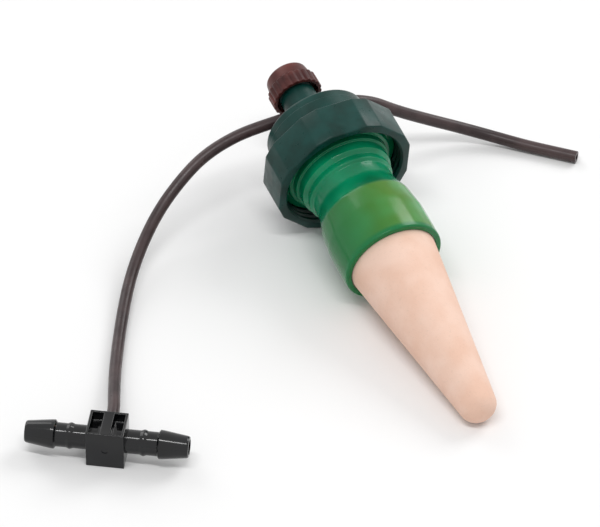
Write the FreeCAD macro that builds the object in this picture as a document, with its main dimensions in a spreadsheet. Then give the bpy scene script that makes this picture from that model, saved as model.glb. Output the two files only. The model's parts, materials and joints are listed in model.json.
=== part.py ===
# Self watering spike: a porous ceramic cone under a diaphragm valve that pinches a drip tube.
#
# Every piece of the spike is drawn upright about one axis, in millimetres, with height 0 at the
# cone's tip and heights growing towards the adjusting cap. One placement then lays the spike
# down as it rests on a flat surface, on one flat of its union nut and on its tip. The drip tube
# and its tee are placed in the lying frame, where the surface is at height 0.

import FreeCAD, Part
import math
import os
import Sketcher
from FreeCAD import Placement, Rotation, Vector

SIZES = {
    # ceramic cone
    "tip_end_radius": 4.5,
    "tip_round": 4.15,
    "cone_exposed": 54.5,
    "cone_mouth_radius": 11.8,
    "cone_socket": 17.0,
    "cone_wall": 3.2,
    "cone_floor": 8.0,
    "cone_bore_tip_radius": 2.5,
    "cone_lip_round": 0.6,
    # cement between the cone and its sleeve
    "cement_gap": 0.25,
    "cement_setback": 0.8,
    # sleeve, neck and threaded rim, one clear moulding
    "sleeve_wall": 1.5,
    "sleeve_straight": 10.7,
    "shoulder_rise": 6.2,
    "shoulder_inset": 0.75,
    "neck_wall": 1.7,
    "neck_bore_inset": 2.4,
    "neck_rise": 5.0,
    "neck_height": 3.8,
    "collar_inset": 0.7,
    "collar_drop": 0.3,
    "ledge_inset": 1.2,
    "ledge_rise": 1.5,
    "rim_face_inset": 1.7,
    "rim_recess": 3.0,
    "rim_step": 1.4,
    "rim_height": 3.2,
    "rim_bore_step": 1.5,
    "rim_wall": 5.3,
    "rim_bore_depth": 3.6,
    "sleeve_edge_round": 0.5,
    "shoulder_round": 10.7,
    "neck_round": 5.0,
    # union nut
    "nut_level": 84.9,
    "nut_height": 10.4,
    "nut_wall": 2.2,
    "nut_corner_rise": 0.55,
    "nut_corner_bevel": 0.5,
    "nut_flat_margin": 0.15,
    "nut_mouth_bevel": 0.5,
    # diaphragm and slip washer
    "diaphragm_thickness": 0.8,
    "diaphragm_inset": 0.5,
    "roll_height": 1.3,
    "roll_width": 2.6,
    "roll_inset": 1.1,
    "roll_slope": 0.5,
    "stud_radius": 1.2,
    "stud_height": 1.6,
    "washer_thickness": 0.4,
    "washer_width": 4.4,
    # valve head and its tower
    "flange_height": 1.3,
    "flange_inset": 0.35,
    "flange_overhang": 1.9,
    "head_rise": 8.7,
    "head_roof": 2.6,
    "head_wall": 2.4,
    "head_edge": 0.9,
    "guide_wall": 1.85,
    "guide_drop": 2.6,
    "tower_radius": 4.8,
    "tower_height": 15.0,
    "tower_root_round": 0.6,
    "port_rise": 4.9,
    "port_stub": 0.4,
    "bore_radius": 2.05,
    "key_width": 1.0,
    "key_reach": 0.8,
    "key_length": 2.0,
    "key_setback": 1.2,
    "keyway_depth": 5.0,
    # plunger and pressure pin
    "plunger_plate_inset": 0.7,
    "plunger_plate_height": 1.3,
    "plunger_rest_gap": 0.1,
    "chisel_half_width": 0.4,
    "chisel_height": 1.3,
    "pinch_gap": 0.1,
    # adjusting cap
    "cap_headroom": 2.0,
    "cap_skirt_height": 4.1,
    "cap_crown_height": 3.8,
    "cap_wall": 1.15,
    "cap_draft": 0.4,
    "cap_skirt_step": 0.9,
    "cap_skirt_wall": 1.0,
    "cap_skirt_bore_depth": 2.4,
    "cap_roof": 1.2,
    "cap_edge": 0.8,
    "knurl_radius": 0.55,
    "knurl_offset": 0.3,
    "knurl_count": 22,
    # drip tube
    "tube_radius": 1.6,
    "tube_wall": 0.8,
    "pinch_half_height": 0.95,
    "pinch_side_gap": 0.1,
    "pinch_slit": 0.25,
    "pinch_reach": 1.25,
    "exit_run": 6.0,
    "cuff_swell": 0.5,
    "cuff_length": 3.0,
    "cuff_straight": 1.4,
    # tee
    "block_width": 9.8,
    "block_depth": 9.0,
    "block_height": 11.1,
    "block_edge": 0.5,
    "pocket_rib": 2.7,
    "pocket_wall": 0.7,
    "pocket_depth": 2.7,
    "gate_radius": 0.9,
    "gate_depth": 0.35,
    "stub_radius": 3.1,
    "ridge_radius": 3.4,
    "ridge_level": 9.4,
    "ridge_width": 0.8,
    "barb_radius": 3.75,
    "barb_level": 13.6,
    "barb_back": 0.5,
    "nose_radius": 2.75,
    "barb_reach": 21.0,
    "waterway_radius": 2.0,
    "nipple_length": 3.0,
    "nipple_bore_radius": 0.5,
    # fits
    "running_clearance": 0.05,
    "axial_clearance": 0.05,
    "overrun": 1.0,
}

# Places of the tee and of the drip tube in the lying frame. The tee stands on the surface.
TEE_CENTRE = (-90.8, -29.3)
TEE_TURN_DEGREES = -33.0

# The two free stretches of tube, from the head outwards. The first two points of each and the
# last two of the supply stretch are worked out from the ports that they meet.
SUPPLY_ROUTE = [
    (-20.6, 47.2, 21.0),
    (-30.0, 46.4, 18.2),
    (-37.9, 43.8, 14.4),
    (-45.6, 40.1, 10.1),
    (-53.1, 34.0, 6.2),
    (-60.8, 25.1, 3.3),
    (-68.7, 12.5, 1.9),
    (-76.5, -1.7, 2.0),
    (-81.8, -13.0, 4.2),
]
OUTLET_ROUTE = [
    (18.3, 46.3, 19.8),
    (25.4, 45.1, 14.7),
    (34.6, 43.9, 9.2),
    (43.0, 41.8, 5.0),
    (50.4, 37.5, 2.6),
    (56.9, 31.6, 1.75),
    (62.3, 26.5, 1.7),
    (67.1, 21.9, 1.7),
]
ARC_SHARE = 0.45

# Levels along the axis, as formulas of the sheet's cells.
SLEEVE_RIM = "dim.cone_exposed"
CONE_TOP = "(dim.cone_exposed + dim.cone_socket)"
SHOULDER_FOOT = "(dim.cone_exposed + dim.sleeve_straight)"
SHOULDER_TOP = f"({SHOULDER_FOOT} + dim.shoulder_rise)"
NECK_FOOT = f"({SHOULDER_TOP} + dim.neck_rise)"
NECK_TOP = f"({NECK_FOOT} + dim.neck_height)"
RIM_FACE = "(dim.nut_level + dim.rim_recess)"
RIM_STEP = f"({RIM_FACE} + dim.rim_step)"
RIM_TOP = f"({RIM_FACE} + dim.rim_height)"
DIAPHRAGM_TOP = f"({RIM_TOP} + dim.diaphragm_thickness)"
WASHER_TOP = f"({DIAPHRAGM_TOP} + dim.washer_thickness)"
FLANGE_TOP = f"({WASHER_TOP} + dim.flange_height)"
LIP_FACE = f"({FLANGE_TOP} + dim.axial_clearance)"
NUT_TOP = "(dim.nut_level + dim.nut_height)"
HEAD_TOP = f"({NUT_TOP} + dim.head_rise)"
CHAMBER_TOP = f"({HEAD_TOP} - dim.head_roof)"
GUIDE_FOOT = f"({CHAMBER_TOP} - dim.guide_drop)"
TOWER_TOP = f"({HEAD_TOP} + dim.tower_height)"
PORT_LEVEL = f"({HEAD_TOP} + dim.port_rise)"
CAP_CEILING = f"({TOWER_TOP} + dim.cap_headroom)"
CAP_TOP = f"({CAP_CEILING} + dim.cap_roof)"
CAP_TIER = f"({CAP_TOP} - dim.cap_crown_height)"
CAP_RIM = f"({CAP_TIER} - dim.cap_skirt_height)"

# Radii along the axis, as formulas.
CONE_BORE = "(dim.cone_mouth_radius - dim.cone_wall)"
SOCKET_RADIUS = "(dim.cone_mouth_radius + dim.cement_gap)"
SLEEVE_RADIUS = f"({SOCKET_RADIUS} + dim.sleeve_wall)"
SHOULDER_RADIUS = f"({SLEEVE_RADIUS} - dim.shoulder_inset)"
NECK_BORE = "(dim.cone_mouth_radius - dim.neck_bore_inset)"
NECK_RADIUS = f"({NECK_BORE} + dim.neck_wall)"
RIM_BORE = f"({NECK_BORE} + dim.rim_bore_step)"
RIM_RADIUS = f"({RIM_BORE} + dim.rim_wall)"
RIM_FACE_RADIUS = f"({RIM_RADIUS} - dim.rim_face_inset)"
LEDGE_RADIUS = f"({RIM_FACE_RADIUS} - dim.ledge_inset)"
COLLAR_RADIUS = f"({LEDGE_RADIUS} - dim.collar_inset)"
NUT_THREAD_RADIUS = f"({RIM_RADIUS} + dim.running_clearance)"
NUT_APOTHEM = f"({NUT_THREAD_RADIUS} + dim.nut_wall)"
NUT_CORNER_APOTHEM = f"({NUT_APOTHEM} + dim.nut_corner_rise)"
DIAPHRAGM_RADIUS = f"({RIM_RADIUS} - dim.diaphragm_inset)"
WASHER_BORE = f"({DIAPHRAGM_RADIUS} - dim.washer_width)"
FLANGE_RADIUS = f"({NUT_THREAD_RADIUS} - dim.flange_inset)"
HEAD_RADIUS = f"({FLANGE_RADIUS} - dim.flange_overhang)"
CHAMBER_RADIUS = f"({HEAD_RADIUS} - dim.head_wall)"
ROLL_OUTER = f"({CHAMBER_RADIUS} - dim.roll_inset)"
ROLL_INNER = f"({ROLL_OUTER} - dim.roll_width)"
PLATE_RADIUS = f"({ROLL_INNER} - dim.plunger_plate_inset)"
PIN_RADIUS = "(dim.bore_radius - dim.running_clearance)"
GUIDE_RADIUS = "(dim.bore_radius + dim.guide_wall)"
CAP_THREAD_RADIUS = "(dim.tower_radius + dim.running_clearance)"
CROWN_RADIUS = f"({CAP_THREAD_RADIUS} + dim.cap_wall)"
CAP_TOP_RADIUS = f"({CROWN_RADIUS} - dim.cap_draft)"
SKIRT_RADIUS = f"({CROWN_RADIUS} + dim.cap_skirt_step)"
SKIRT_BORE = f"({SKIRT_RADIUS} - dim.cap_skirt_wall)"
TUBE_BORE = "(dim.tube_radius - dim.tube_wall)"

doc = FreeCAD.newDocument("self_watering_spike")
dim = doc.addObject("Spreadsheet::Sheet", "dim")
for row, (alias, size) in enumerate(SIZES.items(), start=1):
    dim.set(f"A{row}", alias)
    dim.set(f"B{row}", str(size))
    dim.setAlias(f"B{row}", alias)
doc.recompute()


def size(alias):
    """Give the number in one of the sheet's cells."""
    return float(dim.get(alias))


def outline_sketch(body, name, plane, outline):
    """Draw a closed outline of straight lines whose corners are bound to the sheet."""
    sketch = body.newObject("Sketcher::SketchObject", name)
    planes = [item for item in body.Origin.OriginFeatures if item.Role == plane]
    sketch.AttachmentSupport = [(planes[0], "")]
    sketch.MapMode = "FlatFace"
    count = len(outline)
    turn = 2 * math.pi / count
    starts = [Vector(math.cos(turn * step), math.sin(turn * step), 0) for step in range(count)]
    for index in range(count):
        sketch.addGeometry(Part.LineSegment(starts[index], starts[(index + 1) % count]), False)
    for index in range(count):
        following = (index + 1) % count
        sketch.addConstraint(Sketcher.Constraint("Coincident", index, 2, following, 1))
    for index, corner in enumerate(outline):
        for kind, axis, formula in (("DistanceX", -2, corner[0]), ("DistanceY", -1, corner[1])):
            if formula == "0":
                sketch.addConstraint(Sketcher.Constraint("PointOnObject", index, 1, axis))
            else:
                number = sketch.addConstraint(Sketcher.Constraint(kind, -1, 1, index, 1, 1))
                sketch.setExpression(f"Constraints[{number}]", formula)
    return sketch


def turned_body(name, outline, rounds=()):
    """Turn an outline of (radius, height) formulas about the axis, and round chosen corners."""
    body = doc.addObject("PartDesign::Body", name)
    body.Label = name
    sketch = outline_sketch(body, f"{name}_outline", "XZ_Plane", outline)
    turned = body.newObject("PartDesign::Revolution", f"{name}_turned")
    turned.Profile = sketch
    turned.ReferenceAxis = (sketch, ["V_Axis"])
    turned.Angle = 360
    doc.recompute()
    body.Tip = turned
    feature = turned
    for number, (corners, radius) in enumerate(rounds):
        edges = ring_edges(feature.Shape, sketch, corners)
        rounded = body.newObject("PartDesign::Fillet", f"{name}_round_{number}")
        rounded.Base = (feature, edges)
        rounded.setExpression("Radius", radius)
        doc.recompute()
        body.Tip = rounded
        feature = rounded
    return body


def ring_edges(shape, sketch, corners):
    """Name the round edges that the outline's chosen corners sweep."""
    fine = 0.001
    names = []
    for corner in corners:
        point = sketch.Geometry[corner].StartPoint
        for number, edge in enumerate(shape.Edges, start=1):
            ring = edge.Curve
            if ring.TypeId != "Part::GeomCircle":
                continue
            if abs(ring.Radius - point.x) < fine and abs(ring.Center.z - point.y) < fine:
                names.append(f"Edge{number}")
    return names


def cylinder(name, radius, height, base=None, direction=None):
    """Make a cylinder whose sizes are formulas, from a base point along a direction."""
    item = doc.addObject("Part::Cylinder", name)
    item.setExpression("Radius", radius)
    item.setExpression("Height", height)
    place(item, base, direction)
    return item


def box(name, length, width, height, base=None):
    """Make a box whose sizes and low corner are formulas."""
    item = doc.addObject("Part::Box", name)
    item.setExpression("Length", length)
    item.setExpression("Width", width)
    item.setExpression("Height", height)
    place(item, base, None)
    return item


def place(item, base, direction):
    """Set a primitive's direction, and bind its base point to formulas."""
    if direction is not None:
        item.Placement = Placement(Vector(), Rotation(Vector(0, 0, 1), direction))
    for part, formula in zip("xyz", base or ()):
        if formula != "0":
            item.setExpression(f"Placement.Base.{part}", formula)


def cut(name, base, *tools):
    """Cut one or more tools out of a base."""
    item = doc.addObject("Part::Cut", name)
    item.Label = name
    item.Base = base
    item.Tool = tools[0] if len(tools) == 1 else fuse(f"{name}_tools", *tools)
    return item


def fuse(name, *members):
    """Join members that overlap into one solid."""
    item = doc.addObject("Part::MultiFuse", name)
    item.Label = name
    item.Shapes = list(members)
    return item


def common(name, *members):
    """Keep what all members share."""
    item = doc.addObject("Part::MultiCommon", name)
    item.Label = name
    item.Shapes = list(members)
    return item


def make_ceramic_cone():
    """The porous cone: a slip-cast tapered cup, closed and rounded at its tip."""
    outline = [
        ("0", "0"),
        ("dim.tip_end_radius", "0"),
        ("dim.cone_mouth_radius", SLEEVE_RIM),
        ("dim.cone_mouth_radius", CONE_TOP),
        (CONE_BORE, CONE_TOP),
        (CONE_BORE, SLEEVE_RIM),
        ("dim.cone_bore_tip_radius", "dim.cone_floor"),
        ("0", "dim.cone_floor"),
    ]
    rounds = [([1], "dim.tip_round"), ([3, 4], "dim.cone_lip_round")]
    return turned_body("ceramic_cone", outline, rounds)


def make_cement_ring():
    """The thin ring of cement that holds and seals the cone in its sleeve."""
    foot = f"({SLEEVE_RIM} + dim.cement_setback)"
    top = f"({CONE_TOP} - dim.cement_setback)"
    outline = [
        ("dim.cone_mouth_radius", foot),
        (SOCKET_RADIUS, foot),
        (SOCKET_RADIUS, top),
        ("dim.cone_mouth_radius", top),
    ]
    return turned_body("cement_ring", outline)


def make_cone_sleeve():
    """The clear moulding: sleeve over the cone, waisted neck, stepped collar, threaded rim."""
    collar = "(dim.nut_level - dim.collar_drop)"
    ledge = f"({collar} + dim.ledge_rise)"
    bore_step = f"({RIM_TOP} - dim.rim_bore_depth)"
    outline = [
        (SOCKET_RADIUS, SLEEVE_RIM),
        (SLEEVE_RADIUS, SLEEVE_RIM),
        (SLEEVE_RADIUS, SHOULDER_FOOT),
        (SHOULDER_RADIUS, SHOULDER_TOP),
        (NECK_RADIUS, NECK_FOOT),
        (NECK_RADIUS, NECK_TOP),
        (COLLAR_RADIUS, collar),
        (COLLAR_RADIUS, ledge),
        (LEDGE_RADIUS, ledge),
        (LEDGE_RADIUS, RIM_FACE),
        (RIM_FACE_RADIUS, RIM_FACE),
        (RIM_FACE_RADIUS, RIM_STEP),
        (RIM_RADIUS, RIM_STEP),
        (RIM_RADIUS, RIM_TOP),
        (RIM_BORE, RIM_TOP),
        (RIM_BORE, bore_step),
        (NECK_BORE, bore_step),
        (NECK_BORE, f"({CONE_TOP} + dim.neck_wall)"),
        (CONE_BORE, CONE_TOP),
        (SOCKET_RADIUS, CONE_TOP),
    ]
    rounds = [([1, 10], "dim.sleeve_edge_round"), ([2], "dim.shoulder_round"), ([4], "dim.neck_round")]
    return turned_body("cone_sleeve", outline, rounds)


def make_union_nut():
    """The grip collar: eight flats with narrow flats between, a threaded mouth and a top lip."""
    wide = doc.addObject("Part::Prism", "nut_wide_flats")
    narrow = doc.addObject("Part::Prism", "nut_narrow_flats")
    sides = 8
    half_side = 180 / sides
    for prism, apothem, turn in (
        (wide, NUT_APOTHEM, half_side),
        (narrow, NUT_CORNER_APOTHEM, 0),
    ):
        prism.Polygon = sides
        prism.Placement = Placement(Vector(), Rotation(Vector(0, 0, 1), turn))
        prism.setExpression("Circumradius", f"{apothem} / cos({half_side} deg)")
        prism.setExpression("Height", "dim.nut_height")
        prism.setExpression("Placement.Base.z", "dim.nut_level")
    flats = common("nut_flats", wide, narrow)
    quarter_side = half_side / 2
    corner_radius = f"{NUT_CORNER_APOTHEM} / cos({quarter_side} deg)"
    end_radius = f"({NUT_APOTHEM} + dim.nut_flat_margin)"
    envelope = turned_body(
        "nut_envelope",
        [
            ("0", "dim.nut_level"),
            (end_radius, "dim.nut_level"),
            (corner_radius, "(dim.nut_level + dim.nut_corner_bevel)"),
            (corner_radius, f"({NUT_TOP} - dim.nut_corner_bevel)"),
            (end_radius, NUT_TOP),
            ("0", NUT_TOP),
        ],
    )
    lip_bore = f"({HEAD_RADIUS} + dim.running_clearance)"
    inside = turned_body(
        "nut_inside",
        [
            ("0", "(dim.nut_level - dim.overrun)"),
            (f"({NUT_THREAD_RADIUS} + dim.nut_mouth_bevel + dim.overrun)", "(dim.nut_level - dim.overrun)"),
            (NUT_THREAD_RADIUS, "(dim.nut_level + dim.nut_mouth_bevel)"),
            (NUT_THREAD_RADIUS, LIP_FACE),
            (lip_bore, LIP_FACE),
            (lip_bore, f"({NUT_TOP} + dim.overrun)"),
            ("0", f"({NUT_TOP} + dim.overrun)"),
        ],
    )
    return cut("union_nut", common("nut_blank", flats, envelope), inside)


def make_diaphragm():
    """The rubber disc that closes the water space, with a rolled ring and a central stud."""
    stud_top = f"({DIAPHRAGM_TOP} + dim.stud_height)"
    roll_top = f"({DIAPHRAGM_TOP} + dim.roll_height)"
    roll_under = f"({RIM_TOP} + dim.roll_height)"
    wall = "dim.diaphragm_thickness"
    outline = [
        ("0", RIM_TOP),
        (f"({ROLL_INNER} + {wall})", RIM_TOP),
        (f"({ROLL_INNER} + {wall} + dim.roll_slope / 2)", roll_under),
        (f"({ROLL_OUTER} - {wall} - dim.roll_slope / 2)", roll_under),
        (f"({ROLL_OUTER} - {wall})", RIM_TOP),
        (DIAPHRAGM_RADIUS, RIM_TOP),
        (DIAPHRAGM_RADIUS, DIAPHRAGM_TOP),
        (ROLL_OUTER, DIAPHRAGM_TOP),
        (f"({ROLL_OUTER} - dim.roll_slope)", roll_top),
        (f"({ROLL_INNER} + dim.roll_slope)", roll_top),
        (ROLL_INNER, DIAPHRAGM_TOP),
        ("dim.stud_radius", DIAPHRAGM_TOP),
        ("dim.stud_radius", stud_top),
        ("0", stud_top),
    ]
    return turned_body("diaphragm", outline)


def make_slip_washer():
    """The thin ring that lets the head bear on the rubber without twisting it."""
    outline = [
        (WASHER_BORE, DIAPHRAGM_TOP),
        (DIAPHRAGM_RADIUS, DIAPHRAGM_TOP),
        (DIAPHRAGM_RADIUS, WASHER_TOP),
        (WASHER_BORE, WASHER_TOP),
    ]
    return turned_body("slip_washer", outline)


def make_valve_head():
    """The head: flange under the nut's lip, chamber over the diaphragm, and the valve tower."""
    outline = [
        (CHAMBER_RADIUS, WASHER_TOP),
        (FLANGE_RADIUS, WASHER_TOP),
        (FLANGE_RADIUS, FLANGE_TOP),
        (HEAD_RADIUS, FLANGE_TOP),
        (HEAD_RADIUS, HEAD_TOP),
        ("dim.tower_radius", HEAD_TOP),
        ("dim.tower_radius", TOWER_TOP),
        ("dim.bore_radius", TOWER_TOP),
        ("dim.bore_radius", GUIDE_FOOT),
        (GUIDE_RADIUS, GUIDE_FOOT),
        (GUIDE_RADIUS, CHAMBER_TOP),
        (CHAMBER_RADIUS, CHAMBER_TOP),
    ]
    rounds = [([4], "dim.head_edge"), ([5], "dim.tower_root_round")]
    blank = turned_body("head_blank", outline, rounds)
    tube_hole = cylinder(
        "head_tube_hole",
        "dim.tube_radius + dim.running_clearance",
        "2 * (dim.tower_radius + dim.overrun)",
        ("-(dim.tower_radius + dim.overrun)", "0", PORT_LEVEL),
        Vector(1, 0, 0),
    )
    keyway = box(
        "head_keyway",
        "dim.key_width + 2 * dim.running_clearance",
        "dim.bore_radius + dim.key_reach",
        "dim.keyway_depth + dim.overrun",
        ("-(dim.key_width / 2 + dim.running_clearance)", "0", f"{TOWER_TOP} - dim.keyway_depth"),
    )
    return cut("valve_head", blank, tube_hole, keyway)


def make_diaphragm_plunger():
    """The plunger: a plate on the diaphragm and a stem that pinches the tube from below."""
    plate_foot = f"({DIAPHRAGM_TOP} + dim.plunger_rest_gap)"
    plate_top = f"({plate_foot} + dim.plunger_plate_height)"
    socket_top = f"({DIAPHRAGM_TOP} + dim.stud_height + dim.plunger_rest_gap)"
    socket_radius = "(dim.stud_radius + dim.running_clearance)"
    edge = f"({PORT_LEVEL} - dim.pinch_half_height - dim.pinch_gap)"
    outline = [
        (socket_radius, plate_foot),
        (PLATE_RADIUS, plate_foot),
        (PLATE_RADIUS, plate_top),
        (PIN_RADIUS, plate_top),
        (PIN_RADIUS, edge),
        ("0", edge),
        ("0", socket_top),
        (socket_radius, socket_top),
    ]
    blank = turned_body("plunger_blank", outline)
    return cut("diaphragm_plunger", blank, *chisel_sides("plunger", edge, -1))


def chisel_sides(name, edge, side):
    """Two blocks that leave a chisel edge, square to the tube, at the end of a pin."""
    low = f"({edge} - dim.chisel_height)" if side < 0 else f"({edge} - dim.overrun)"
    blocks = []
    for sign, base in ((-1, f"-(dim.chisel_half_width + 2 * {PIN_RADIUS})"), (1, "dim.chisel_half_width")):
        blocks.append(
            box(
                f"{name}_side_{'left' if sign < 0 else 'right'}",
                f"2 * {PIN_RADIUS}",
                f"4 * {PIN_RADIUS}",
                "dim.chisel_height + dim.overrun",
                (base, f"-2 * {PIN_RADIUS}", low),
            )
        )
    return blocks


def make_pressure_pin():
    """The keyed pin that the cap drives down on the tube. It slides and cannot turn."""
    edge = f"({PORT_LEVEL} + dim.pinch_half_height + dim.pinch_gap)"
    top = f"({CAP_CEILING} - dim.axial_clearance)"
    blank = turned_body(
        "pin_blank",
        [
            ("0", edge),
            (PIN_RADIUS, edge),
            (PIN_RADIUS, top),
            ("0", top),
        ],
    )
    ground = cut("pin_ground", blank, *chisel_sides("pin", edge, 1))
    key = box(
        "pin_key",
        "dim.key_width",
        f"{PIN_RADIUS} + dim.key_reach - dim.running_clearance",
        "dim.key_length",
        ("-dim.key_width / 2", "0", f"{TOWER_TOP} - dim.key_setback - dim.key_length"),
    )
    return fuse("pressure_pin", ground, key)


def make_adjusting_cap():
    """The two-tier cap that screws on the tower, knurled round its skirt."""
    skirt_step = f"({CAP_RIM} + dim.cap_skirt_bore_depth)"
    outline = [
        (SKIRT_BORE, CAP_RIM),
        (SKIRT_RADIUS, CAP_RIM),
        (SKIRT_RADIUS, CAP_TIER),
        (CROWN_RADIUS, CAP_TIER),
        (CAP_TOP_RADIUS, CAP_TOP),
        ("0", CAP_TOP),
        ("0", CAP_CEILING),
        (CAP_THREAD_RADIUS, CAP_CEILING),
        (CAP_THREAD_RADIUS, skirt_step),
        (SKIRT_BORE, skirt_step),
    ]
    rounds = [([4], "dim.cap_edge")]
    cap = turned_body("adjusting_cap", outline, rounds)
    groove = cap.newObject("Sketcher::SketchObject", "cap_groove")
    planes = [item for item in cap.Origin.OriginFeatures if item.Role == "XY_Plane"]
    groove.AttachmentSupport = [(planes[0], "")]
    groove.MapMode = "FlatFace"
    groove.setExpression("AttachmentOffset.Base.z", CAP_RIM)
    centre = Vector(cap_crown_radius() + size("cap_skirt_step"), 0, 0)
    groove.addGeometry(Part.Circle(centre, Vector(0, 0, 1), size("knurl_radius")))
    groove.addConstraint(Sketcher.Constraint("PointOnObject", 0, 3, -1))
    across = groove.addConstraint(Sketcher.Constraint("DistanceX", -1, 1, 0, 3, 1))
    groove.setExpression(f"Constraints[{across}]", f"{SKIRT_RADIUS} + dim.knurl_offset")
    round_size = groove.addConstraint(Sketcher.Constraint("Radius", 0, 1))
    groove.setExpression(f"Constraints[{round_size}]", "dim.knurl_radius")
    doc.recompute()
    whole = cap.Tip.Shape.Volume
    pocket = cap.newObject("PartDesign::Pocket", "cap_knurl_groove")
    pocket.Profile = groove
    pocket.Reversed = True
    pocket.setExpression("Length", "dim.cap_skirt_height")
    doc.recompute()
    cap.Tip = pocket
    if not pocket.Shape.Volume < whole:
        raise ValueError("the cap's knurl groove cuts nothing")
    pattern = cap.newObject("PartDesign::PolarPattern", "cap_knurl")
    pattern.Originals = [pocket]
    pattern.Axis = (groove, ["N_Axis"])
    pattern.Angle = 360
    pattern.setExpression("Occurrences", "dim.knurl_count")
    cap.Tip = pattern
    doc.recompute()
    return cap


def make_valve_tube():
    """The stretch of drip tube through the tower, pinched oval between plunger and pin."""
    reach = size("tower_radius") + size("port_stub")
    half_width = size("bore_radius") - size("pinch_side_gap")
    outer = pinched_bar(reach, size("tube_radius"), half_width, size("pinch_half_height"))
    bore = pinched_bar(reach, tube_bore_radius(), half_width - size("tube_wall"), size("pinch_slit"))
    item = doc.addObject("Part::Feature", "valve_tube")
    item.Label = "valve_tube"
    raised = Placement(Vector(0, 0, level_of_port()), Rotation())
    item.Shape = outer.cut(bore).transformGeometry(raised.toMatrix())
    return item


def pinched_bar(reach, radius, half_width, half_height):
    """A round bar along X, necked to an oval half way."""
    shoulder = size("pinch_reach")
    waist = oval(0, half_width, half_height)
    ends = [oval(side * shoulder, radius, radius) for side in (-1, 1)]
    bar = Part.makeLoft([ends[0], waist, ends[1]], True, False)
    for side in (-1, 1):
        direction = Vector(side, 0, 0)
        end = Part.makeCylinder(radius, reach - shoulder, Vector(side * shoulder, 0, 0), direction)
        bar = bar.fuse(end)
    return bar


def oval(level, half_width, half_height):
    """A closed oval wire square to X, in four arcs' worth of one ellipse or circle."""
    if half_width == half_height:
        edge = Part.makeCircle(half_width, Vector(level, 0, 0), Vector(1, 0, 0))
        return Part.Wire([edge])
    across = Vector(level, half_width, 0)
    upright = Vector(level, 0, half_height)
    return Part.Wire([Part.Ellipse(across, upright, Vector(level, 0, 0)).toShape()])


def level_of_port():
    """Height of the tube hole above the tip, in millimetres."""
    names = ("nut_level", "nut_height", "head_rise", "port_rise")
    return sum(size(name) for name in names)


def level_of_cap_top():
    """Height of the cap's top above the tip, in millimetres."""
    names = ("nut_level", "nut_height", "head_rise", "tower_height", "cap_headroom", "cap_roof")
    return sum(size(name) for name in names)


def nut_apothem():
    """Distance from the axis to a wide flat of the nut, in millimetres."""
    neck_bore = size("cone_mouth_radius") - size("neck_bore_inset")
    rim = neck_bore + size("rim_bore_step") + size("rim_wall")
    return rim + size("running_clearance") + size("nut_wall")


def cap_crown_radius():
    """Radius of the cap's crown at its foot, in millimetres."""
    return size("tower_radius") + size("running_clearance") + size("cap_wall")


def tube_bore_radius():
    """Radius of the water's way in the drip tube, in millimetres."""
    return size("tube_radius") - size("tube_wall")


def lying_placement():
    """Lay the upright spike down on one nut flat and its tip, centred over the origin along Y."""
    taper = (size("cone_mouth_radius") - size("tip_end_radius")) / size("cone_exposed")
    tip = size("tip_round")
    ring = size("tip_end_radius") + tip * taper - tip * math.hypot(1, taper)
    along = size("nut_level") - tip
    across = nut_apothem() - ring
    tilt = math.acos(tip / math.hypot(along, across)) - math.atan2(along, across)
    height = nut_apothem() * math.cos(tilt) - (along + tip) * math.sin(tilt)
    front = tip * math.cos(tilt) - ring * math.sin(tilt) - tip
    edge = size("cap_edge")
    back = (level_of_cap_top() - edge) * math.cos(tilt)
    back += (cap_crown_radius() - size("cap_draft") - edge) * math.sin(tilt) + edge
    turn = Rotation(Vector(1, 0, 0), math.degrees(tilt) - 90)
    return Placement(Vector(0, -(front + back) / 2, height), turn)


def tee_placement():
    """Stand the tee on the surface, turned to meet the tube."""
    turn = Rotation(Vector(0, 0, 1), TEE_TURN_DEGREES)
    return Placement(Vector(TEE_CENTRE[0], TEE_CENTRE[1], size("block_height") / 2), turn)


def make_tee_connector():
    """The barbed tee: a pocketed block, two hose barbs in line and a nipple for the drip tube."""
    block = box(
        "tee_block",
        "dim.block_width",
        "dim.block_depth",
        "dim.block_height",
        ("-dim.block_width / 2", "-dim.block_depth / 2", "-dim.block_height / 2"),
    )
    barb_outline = [
        ("0", "0"),
        ("dim.stub_radius", "0"),
        ("dim.stub_radius", "(dim.ridge_level - dim.ridge_width)"),
        ("dim.ridge_radius", "dim.ridge_level"),
        ("dim.stub_radius", "(dim.ridge_level + dim.ridge_width)"),
        ("dim.stub_radius", "(dim.barb_level - dim.barb_back)"),
        ("dim.barb_radius", "dim.barb_level"),
        ("dim.nose_radius", "dim.barb_reach"),
        ("0", "dim.barb_reach"),
    ]
    members = [block]
    for name, direction in (("left", Vector(-1, 0, 0)), ("right", Vector(1, 0, 0))):
        barb = turned_body(f"tee_barb_{name}", barb_outline)
        barb.Placement = Placement(Vector(), Rotation(Vector(0, 0, 1), direction))
        members.append(barb)
    nipple = cylinder(
        "tee_nipple",
        TUBE_BORE,
        "dim.block_depth / 2 + dim.nipple_length",
        None,
        Vector(0, 1, 0),
    )
    members.append(nipple)
    blank = fuse("tee_blank", *members)
    waterway = cylinder(
        "tee_waterway",
        "dim.waterway_radius",
        "2 * (dim.barb_reach + dim.overrun)",
        ("-(dim.barb_reach + dim.overrun)", "0", "0"),
        Vector(1, 0, 0),
    )
    branch = cylinder(
        "tee_branch_bore",
        "dim.nipple_bore_radius",
        "dim.block_depth / 2 + dim.nipple_length + dim.overrun",
        None,
        Vector(0, 1, 0),
    )
    gate = cylinder(
        "tee_gate",
        "dim.gate_radius",
        "dim.gate_depth + dim.overrun",
        ("0", "-(dim.block_depth / 2 + dim.overrun)", "0"),
        Vector(0, 1, 0),
    )
    return cut("tee_connector", blank, waterway, branch, gate, *tee_pockets())


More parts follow.
